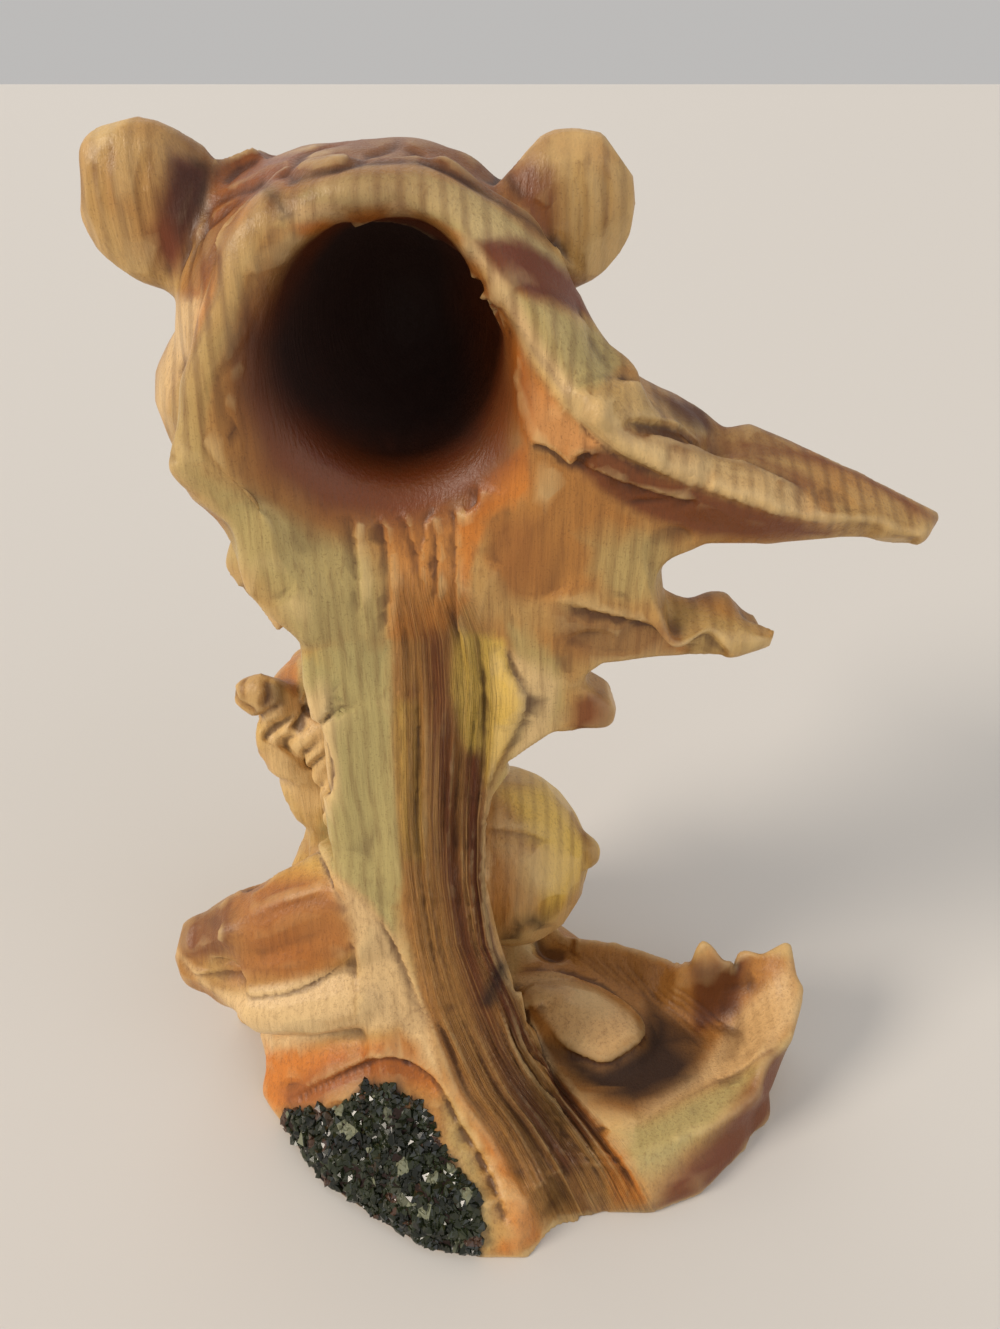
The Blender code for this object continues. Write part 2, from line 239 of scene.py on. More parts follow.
# Each pull has its place, its reach in millimetres and its pull in pixels, across and down.
PULLS = [
    ((52, -28, 240), 20, (-6, -11)), ((-3, -26, 240), 16, (3, -5)), ((14, -27, 243), 14, (2, -9)),
    ((49, -28, 244), 9, (0, -17)), ((4, -27, 243), 7, (4, -6)), ((440, 165), 10, (2, -5)),
    ((206, 500), 9, (20, -8)), ((236, 545), 12, (22, -12)), ((58, 11, 182), 9, (12, -6)),
    ((68, -20, 167), 14, (28, -10)), ((58, -8, 149), 17, (28, -10)), ((-22, -4, 214), 15, (-8, 6)),
    ((-31, -2, 204), 13, (-6, 11)), ((-41, 0, 196), 12, (-6, 24)), ((-43, 3, 197), 6, (-4, 10)),
    ((-45, -10, 194), 9, (-3, 16)), ((628, 366), 6, (8, -4)), ((696, 412), 6, (8, -4)),
    ((664, 572), 6, (-9, 2)), ((675, 596), 9, (-6, 24)), ((-40, 0, 166), 12, (-5, 17)),
    ((-57, 2, 158), 8, (-12, 6)), ((-32, 4, 172), 7, (-8, -7)), ((702, 606), 11, (-4, 24)),
    ((744, 626), 9, (-6, 16)), ((61, -15, 96), 11, (22, -4)), ((59, -14, 86), 12, (30, -10)),
    ((62, -30, 92), 13, (20, -10)), ((56, -13, 74), 14, (34, -6)), ((60, -34, 66), 22, (28, -4)),
    ((62, -34, 53), 16, (38, 8)), ((62, -45, 48), 14, (14, 0)), ((245, 1050), 16, (34, -6)),
    ((220, 990), 11, (20, -16)), ((79, 12, 43), 9, (8, -8)), ((88, 0, 22), 15, (12, -9)),
    ((80, -14, 36), 15, (12, -12)), ((256, 1092), 12, (16, -4)), ((300, 1150), 12, (-22, 6)),
    ((556, 1222), 12, (-4, -9)), ((706, 958), 6, (-3, -14)), ((748, 966), 6, (-8, -12)),
    ((786, 956), 7, (2, -9)), ((905, 532), 9, (4, 9)), ((290, 862), 8, (22, 2)), ((600, 715), 6, (0, 4)),
    ((720, 640), 8, (0, 6)), ((84, -21, 238), 8, (7, 0)), ((54, -25, 243), 8, (-2, -12)),
    ((48, -31, 243), 9, (2, -12)), ((58, 8, 177), 9, (10, -8)), ((-42, -6, 196), 6, (7, -6)),
    ((-37, 4, 161), 6, (-4, 9)), ((-41, 0, 158), 6, (0, 7)), ((-59, 3, 154), 7, (-9, 9)),
    ((-36, 8, 169), 6, (-5, -4)), ((68, -20, 119), 8, (-8, 0)), ((59, -24, 123), 7, (0, 6)),
    ((69, -20, 105), 8, (9, 3)), ((68, -16, 99), 9, (13, -7)), ((66, -19, 90), 9, (9, -9)),
    ((61, -16, 87), 8, (5, -5)), ((65, -53, 40), 14, (9, 10)), ((71, -44, 38), 14, (12, 5)),
    ((62, -8, 66), 8, (3, 8)), ((85, 12, 35), 10, (10, -10)), ((76, 16, 32), 11, (5, -12)),
    ((-77, 24, 22), 10, (-7, -5)), ((-75, 24, 2), 8, (6, 3)), ((89, -2, 50), 8, (-3, -5))]
for at, reach, pull in PULLS:
    grab(at, reach, pull)


FACETS = 520
FACET_DEPTH = 0.6 * MM
LEAST_SWELL = 0.2 * MM


def shave(seed, reach):
    """One flat chisel cut across the swell of the skin at a point; flat skin is left as it is."""
    which, gap, share, side = near([rest[seed]], reach * MM)
    proud = (place[which] - place[seed]) @ normal[seed]
    swell = -proud[gap > 0.8 * reach * MM].mean()
    if swell > LEAST_SWELL:
        rim = np.clip((1 - gap / (reach * MM)) * 5, 0, 1)
        cut = np.clip(proud + min(0.6 * swell, FACET_DEPTH), 0, None) * rim
        place[which] -= normal[seed] * cut[:, None]


TRUNK_LEFT = [(386, 590), (392, 640), (393, 700), (394, 760), (396, 820), (402, 880), (412, 945), (424, 1003),
              (442, 1046), (464, 1094), (489, 1129), (507, 1164), (535, 1222)]
TRUNK_RIGHT = [
    (466, 590), (486, 640), (492, 700), (488, 760), (482, 820), (481, 880), (490, 945), (518, 1003),
    (536, 1046), (562, 1085), (596, 1125), (630, 1172), (652, 1214)]
TRUNK_TOP, TRUNK_FOOT = 560, 1225
HOLLOW_X, HOLLOW_Z = 22, 212


def trunk_edges(v):
    """The trunk's left and right edges at these heights in the photograph."""
    return [np.interp(v, [b for a, b in side], [a for a, b in side]) for side in (TRUNK_LEFT, TRUNK_RIGHT)]


chisel = np.random.RandomState(11)
pixel_u, pixel_v = seen(place)
left_u, right_u = trunk_edges(pixel_v)
lined = (pixel_v > TRUNK_TOP) & (pixel_u > left_u - 110) & (pixel_u < right_u + 20) & (place[:, 1] > 0)
hollow = np.hypot(place[:, 0] / MM - HOLLOW_X, place[:, 2] / MM - HOLLOW_Z) < 36
hollow &= place[:, 1] > -55 * MM
bowl = (place[:, 0] < -30 * MM) & (place[:, 2] < 70 * MM)
swelling = ~lined & ~hollow & ~bowl & ((place[:, 1] > -70 * MM) | (place[:, 2] < 60 * MM))
for seed in chisel.choice(np.flatnonzero(swelling), FACETS):
    shave(seed, chisel.uniform(5, 10))

# The carver's work on the back
# Broad steps part the hood, the rim, the wing and the trunk. Long lines run down from the hollow and spread
# over the foot, leaf-shaped gouge cuts start them, and locks are cut into the skull and the cub.
dice = random.Random(5)
STEPS = [
    ([(281, 216), (313, 213), (353, 213), (388, 209), (416, 215), (440, 229), (467, 248), (487, 268),
     (499, 288), (515, 320), (546, 363), (570, 399), (594, 426), (621, 450), (653, 466), (700, 486),
     (764, 508), (826, 525)], 12, 2.2, 1),
    ([(293, 189), (317, 181), (353, 173), (396, 169), (428, 173), (459, 185), (491, 203), (527, 229),
     (558, 252), (578, 272)], 12, 2.2, -1),
    ([(491, 262), (515, 284), (550, 304), (592, 326)], 14, 2.6, -1),
    ([(568, 396), (586, 385), (613, 387), (645, 389)], 14, 2.6, -1),
    ([(625, 440), (672, 448), (725, 460), (771, 479), (805, 493)], 12, 1.3, -1),
    ([(606, 428), (665, 430), (712, 436)], 14, 1.4, 1),
    ([(262, 189), (234, 229), (222, 256), (218, 284), (206, 323), (194, 347), (178, 387)], 12, 2.0, 1),
    ([(265, 195), (279, 215), (266, 240), (246, 276), (238, 316), (218, 367), (210, 410), (206, 450)], 9,
     1.0, -1),
    ([(298, 660), (301, 699), (318, 716), (329, 737), (336, 781), (320, 828), (321, 851), (333, 875),
     (348, 910), (355, 939), (358, 972), (355, 1016)], 14, 1.6, 1),
    ([(503, 640), (508, 665), (525, 704), (497, 763), (484, 800)], 9, 0.8, -1),
    ([(484, 800), (481, 850), (484, 905), (494, 955), (520, 1007), (550, 1075), (598, 1129)], 12, 1.5, -1),
    ([(365, 898), (395, 939), (409, 972), (427, 1016), (442, 1046)], 12, 0.8, 1),
    ([(524, 444), (528, 470), (529, 494), (505, 510), (483, 520)], 9, 1.0, -1),
    ([(526, 444), (543, 441), (560, 451), (573, 461), (583, 449), (603, 450)], 14, 1.8, 1),
    ([(576, 459), (626, 479), (672, 494), (700, 500)], 9, 1.0, 1),
    ([(549, 600), (626, 617), (672, 625), (706, 632)], 14, 1.5, 1),
    ([(240, 900), (230, 920), (228, 955)], 9, 1.2, -1),
    ([(178, 954), (204, 988), (236, 996), (300, 988), (354, 952)], 12, 0.7, 1),
    ([(602, 1120), (637, 1124), (698, 1090), (767, 1059), (793, 1033)], 8, 0.5, 1),
    ([(290, 1098), (333, 1076), (377, 1057), (411, 1060), (438, 1080), (459, 1120), (481, 1155), (503, 1203),
     (508, 1240)], 8, 1.3, 1),
    ([(482, 828), (520, 832), (553, 843)], 5, 0.4, 1)]
for pixels, width, height, raised in STEPS:
    step_up(pixels, width, height, raised)


def soften(line, reach, rounds):
    """Sands the skin smooth along a line, over that reach in millimetres."""
    which, gap, share, side = near(line, reach * MM)
    number = np.full(len(place), -1)
    number[which] = np.arange(len(which))
    inner = edge[(number[edge[:, 0]] >= 0) & (number[edge[:, 1]] >= 0)]
    a, b = number[inner].T
    count = np.bincount(a, minlength=len(which)) + np.bincount(b, minlength=len(which))
    hold = np.clip(2.5 - 2.5 * gap / (reach * MM), 0, 1)[:, None]
    spots = place[which]
    for turn in range(rounds):
        total = np.zeros_like(spots)
        for axis in range(3):
            total[:, axis] = (np.bincount(a, spots[b, axis], len(which))
                              + np.bincount(b, spots[a, axis], len(which)))
        spots += hold * (total / np.maximum(count, 1)[:, None] - spots)
    place[which] = spots


FLATS = [
    ([(268, 380), (290, 430), (330, 466), (376, 482), (430, 478), (470, 455), (499, 415), (508, 380)], 11,
     160),
    ([(250, 222), (240, 250), (230, 290), (212, 330), (196, 380), (186, 420)], 7, 50),
    ([(300, 198), (345, 190), (390, 186), (430, 193), (470, 210), (505, 234), (540, 258), (570, 280)], 7,
     50),
    ([(500, 262), (530, 284), (560, 300)], 6, 40), ([(530, 318), (560, 350), (590, 380)], 7, 50),
    ([(505, 455), (512, 478), (496, 500)], 8, 60), ([(250, 935), (290, 928), (340, 918)], 9, 60),
    ([(238, 905), (236, 930), (240, 955)], 6, 25), ([(460, 244), (480, 262), (494, 284), (500, 310)], 5, 60),
    ([(268, 290), (262, 320), (262, 350)], 6, 40), ([(700, 1000), (735, 1008), (765, 1010)], 7, 50),
    ([(620, 1118), (660, 1112), (700, 1092)], 7, 50)]
for pixels, reach, rounds in FLATS:
    soften(drawn(pixels), reach, rounds)

LINES_DOWN = 34
for k in range(LINES_DOWN):
    across = (k + dice.uniform(0.1, 0.9)) / LINES_DOWN
    first = dice.choice([0, 0, 1, 2, 4, 6])
    last = dice.choice([9, 11, 13, 13, 13])
    pixels = [(a[0] + (b[0] - a[0]) * across + dice.uniform(-1, 1), a[1] + (b[1] - a[1]) * across)
              for a, b in zip(TRUNK_LEFT, TRUNK_RIGHT)]
    carve(drawn(pixels[first:last]), dice.uniform(2.0, 3.0) * MM, dice.uniform(0.5, 1.2) * MM, runout=0.15,
          stain=0.4)
    if k % 2:
        carve(drawn(pixels[7:]), 2.6 * MM, 1.3 * MM, runout=0.15, stain=0.6)

LEAVES = [
    [(376, 512), (388, 545), (390, 590), (386, 640)], [(400, 507), (412, 537), (420, 560), (424, 600)],
    [(440, 509), (428, 530), (420, 560)], [(457, 500), (459, 530), (457, 592), (462, 660)],
    [(481, 485), (479, 505), (459, 519)], [(352, 517), (358, 560), (360, 620)],
    [(436, 520), (440, 560), (436, 610)]]
for pixels in LEAVES:
    step_up(pixels, 8, 0.9, 1)
carve(drawn([(620, 503), (650, 501), (672, 501)]), 2.4 * MM, 0.6 * MM)

SKULL_LOCKS = [
    [(206, 213), (240, 196), (266, 185)], [(266, 185), (290, 168), (313, 153), (353, 145)],
    [(396, 149), (440, 172), (499, 205)], [(218, 153), (210, 181), (190, 240), (178, 296)],
    [(265, 183), (218, 221), (198, 244), (186, 292)], [(300, 186), (350, 166), (390, 152), (400, 146)],
    [(232, 160), (250, 152), (262, 147)], [(430, 142), (470, 158), (500, 174)],
    [(212, 200), (206, 230), (196, 262)], [(276, 172), (290, 176), (300, 186)]]
RIM_LINES = [
    [(254, 331), (232, 360), (212, 387), (208, 420)], [(246, 350), (238, 400), (242, 440), (243, 482)],
    [(230, 372), (224, 410), (232, 450)], [(262, 300), (250, 340), (246, 390)],
    [(200, 420), (214, 470), (240, 510)]]
EAR_LINES = [
    [(112, 140), (106, 180), (112, 220)], [(150, 150), (142, 190), (150, 230)],
    [(600, 160), (606, 200), (598, 240)], [(96, 160), (92, 190), (100, 225)],
    [(575, 160), (582, 210), (578, 250)]]
WING_LINES = [
    [(505, 640), (520, 690), (523, 710)], [(500, 560), (512, 620), (530, 690)],
    [(836, 505), (860, 512), (884, 508)], [(846, 520), (880, 528), (914, 530)],
    [(560, 640), (600, 650), (640, 652)]]
LOBE_FOLDS = [[(236, 938), (270, 914), (306, 900), (344, 893)], [(240, 958), (285, 944), (346, 925)],
              [(250, 905), (284, 888), (326, 872)]]
CUB_TUFTS = [
    [(258, 745), (275, 728), (300, 712)], [(266, 762), (284, 742), (318, 722)],
    [(274, 778), (300, 758), (326, 736)], [(296, 780), (310, 768), (330, 752)],
    [(252, 724), (268, 712), (284, 706)], [(296, 806), (312, 792), (328, 780)],
    [(304, 690), (312, 710), (326, 726)]]
CUB_CHEEK = [[(264, 676), (268, 695), (262, 712)]]
BOWL_LINES = [[(633 + 8 * k, 990 - 3 * k), (665 + 8 * k, 1014 - 3 * k), (706 + 7 * k, 1050 - 4 * k)]
              for k in range(5)]
RADII = [[(560 + 16 * k, 944 + 4 * k), (590 + 14 * k, 966 + 5 * k), (620 + 12 * k, 992 + 5 * k)]
         for k in range(5)]
# Each group has the width and depth of its cuts in millimetres, and how much wash they hold.
CUTS = [
    (SKULL_LOCKS, 4.2, 0.8, 1.0), (RIM_LINES + WING_LINES, 2.4, 0.45, 0.45), (EAR_LINES, 3.0, 0.5, 0.1),
    (LOBE_FOLDS, 9, 0.8, 0.3), (CUB_TUFTS, 3.8, 1.5, 0.4), (CUB_CHEEK, 4, 1.0, 1.0),
    (BOWL_LINES + RADII, 2.2, 0.5, 0.7)]
for group, width, depth, stain in CUTS:
    for pixels in group:
        carve(drawn(pixels), width * MM, depth * MM, stain=stain)

PAW_EDGE = [
    (513, 976), (552, 973), (598, 990), (632, 1013), (641, 1031), (634, 1046), (607, 1061), (584, 1055),
    (563, 1044), (547, 1027)]
step_up(PAW_EDGE, 7, 1.8, -1)

TOOL_MARKS = 24
for k in range(TOOL_MARKS):
    u, v = curve([(300, 1090), (333, 1074), (377, 1060), (411, 1064), (436, 1084)], TOOL_MARKS // 4)[k]
    carve(drawn([(u, v + 2), (u + 2, v + 14)], 2), 1.8 * MM, 0.6 * MM, stain=0.5)
carve(drawn([(406, 1060), (408, 1062), (410, 1064)], 1), 2.5 * MM, 1.5 * MM, runout=0.01)

SCALLOPS = [(452, 1110), (466, 1136), (484, 1160), (494, 1186), (502, 1212), (490, 1236)]
for u, v in SCALLOPS:
    carve(drawn([(u - 10, v - 8), (u - 1, v), (u + 1, v + 14)], 3), 7 * MM, 1.2 * MM, stain=0.25)

# Fur on the sides that face forwards
# The same knife cuts short tufts into the faces, the chest and the cub. Each starts at a place on the skin
# and follows the lie of the hair: away from the nose over the head, and down the chest and legs.
MOTHER_NOSE = np.array([27, -110, 200]) * MM
CUB_NOSE = np.array([46, -66, 100]) * MM
CUB_TOP = 128 * MM
LEGS_TOP = 88 * MM
TUFTS = 900
TUFT_STEP = 2.6 * MM

hair = np.random.RandomState(3)
hidden = np.einsum("ij,ij->i", np.array(PHOTO_PLACE) - place, normal) < -20 * MM
furred = hidden & (place[:, 1] < -14 * MM) & (place[:, 2] > 24 * MM)
furred &= (place[:, 2] < 218 * MM) | ((place[:, 1] < -34 * MM) & (np.abs(place[:, 0] - 27 * MM) < 34 * MM))
for seed in hair.choice(np.flatnonzero(furred), TUFTS):
    at = place[seed].copy()
    nose = MOTHER_NOSE if at[2] > CUB_TOP else CUB_NOSE
    line = []
    for step in range(5):
        flow = at - nose
        flow = flow / (np.linalg.norm(flow) + 1e-9) + np.array([0.0, 0.0, -0.55])
        if at[2] < LEGS_TOP:
            flow = np.array([0.0, 0.1, -1.0])
        touch, aim, face, gap = solid.find_nearest(Vector(at))
        aim = np.array(aim)
        flow = flow - aim * (flow @ aim)
        line.append(np.array(touch))
        at = np.array(touch) + flow / (np.linalg.norm(flow) + 1e-9) * TUFT_STEP * hair.uniform(0.8, 1.2)
    if np.linalg.norm(line[0] - nose) > 30 * MM or nose is CUB_NOSE:
        carve(line, hair.uniform(2.4, 3.6) * MM, hair.uniform(0.3, 0.75) * MM, stain=0.7)


def laid(points):
    """The line on the skin nearest to these points, which are in millimetres."""
    return [solid.find_nearest(Vector(point) * MM)[0] for point in curve(points)]


MOUTHS = [
    [(44, -82, 186), (38, -94, 186), (27, -102, 190), (16, -94, 186), (10, -82, 186)],
    [(27, -102, 190), (27, -110, 198)],
    [(53, -50, 95), (50, -58, 95), (46, -62, 96), (42, -58, 95), (39, -50, 95)]]
EYES = [[(49, -74, 213), (44, -79, 214), (38, -78, 212)], [(16, -78, 212), (10, -79, 214), (5, -74, 213)],
        [(57, -52, 109), (54, -55, 110), (50, -54, 108)], [(41, -54, 108), (37, -55, 110), (34, -52, 109)]]
for points in MOUTHS:
    carve(laid(points), 3.4 * MM, 1.3 * MM)
for points in EYES:
    carve(laid(points), 2.8 * MM, 0.8 * MM)
TOES = [(61, -50, 37), (31, -62, 14), (0, -60, 14)]
for x, y, top in TOES:
    for gap in (-3.5, 3.5):
        carve(laid([(x + gap, y + 4, top + 8), (x + gap, y - 6, top + 3)]), 3 * MM, 1.2 * MM)

place[:, 2] = np.clip(place[:, 2], 0.0, None)
statue.data.vertices.foreach_set("co", place.ravel())
statue.data.attributes.new("wash", "FLOAT", "POINT").data.foreach_set("value", wash)
thin = statue.modifiers.new("Thin", "DECIMATE")
statue.data.calc_loop_triangles()
thin.ratio = min(1.0, SKIN_TRIANGLES / len(statue.data.loop_triangles))
apply_modifiers(statue)
statue.data.shade_smooth()
place, normal, edge = read_skin()
rest = place

# The airbrushed stain
# The casting is sprayed pale straw, then grey-green, yellow, orange, tan, red-brown and umber are misted on
# with an airbrush, in soft zones and strokes. Each stain is a mask on the skin that the material reads, and
# two more masks, ringed and striped, say where its growth rings and long lines show. Some masks also hold
# painted light: a pale highlight down the trunk's edge and on the cub's cheek, and painted shade deep in the
# hollow and under the wing's ridge.
SIGHT_SLACK = 2 * MM
STAINS = ("green", "yellow", "orange", "tan", "red", "umber", "pale", "ringed", "striped")
mask = {name: np.zeros(len(place)) for name in STAINS}

seen_u, seen_v = seen(place)
away = np.linalg.norm(place - np.array(PHOTO_PLACE), axis=1)
facing = np.einsum("ij,ij->i", np.array(PHOTO_PLACE) - place, normal) / away
open_to = np.clip(facing * 6 + 0.6, 0, 1)
clay = bmesh.new()
clay.from_mesh(statue.data)
outside = BVHTree.FromBMesh(clay)
clay.free()
for k in np.flatnonzero(open_to > 0):
    met = outside.ray_cast(PHOTO_PLACE, Vector(place[k]) - PHOTO_PLACE)
    if met[0] is not None and met[3] < away[k] - SIGHT_SLACK:
        open_to[k] = 0.0

count = np.bincount(edge.ravel(), minlength=len(place))


def evened(values, rounds):
    """The skin's values averaged with those of the joined points, that many times."""
    for turn in range(rounds):
        total = values.copy()
        for a, b in (edge.T, edge.T[::-1]):
            total += np.bincount(a, weights=values[b], minlength=len(values))
        values = total / (count + 1)
    return values


open_to = np.clip(evened(open_to, 3) * 1.6, 0, 1)


def mist(name, width, strength, pixels):
    """One airbrush stroke along these pixels: its width in millimetres, and how strong it is."""
    line = drawn(pixels, 3)
    if line:
        which, gap, share, side = near(line, width / 2 * MM)
        t = np.clip(1 - gap / (width / 2 * MM), 0, 1)
        mask[name][which] = np.maximum(mask[name][which], strength * t * t * (3 - 2 * t))


def zone(name, strength, blur, pixels):
    """An airbrushed area inside these pixels, with an edge that fades over blur pixels."""
    inside = np.zeros(len(place), dtype=bool)
    gap = np.full(len(place), 1e9)
    for (a, b), (c, d) in zip(pixels, pixels[1:] + pixels[:1]):
        inside ^= ((b > seen_v) != (d > seen_v)) & (seen_u < a + (seen_v - b) * (c - a) / ((d - b) or 1e-9))
        run = max((c - a) ** 2 + (d - b) ** 2, 1e-9)
        along = np.clip(((seen_u - a) * (c - a) + (seen_v - b) * (d - b)) / run, 0, 1)
        gap = np.minimum(gap, np.hypot(seen_u - a - along * (c - a), seen_v - b - along * (d - b)))
    t = np.clip(0.5 + np.where(inside, gap, -gap) / blur, 0, 1)
    mask[name] = np.maximum(mask[name], strength * open_to * t * t * (3 - 2 * t))


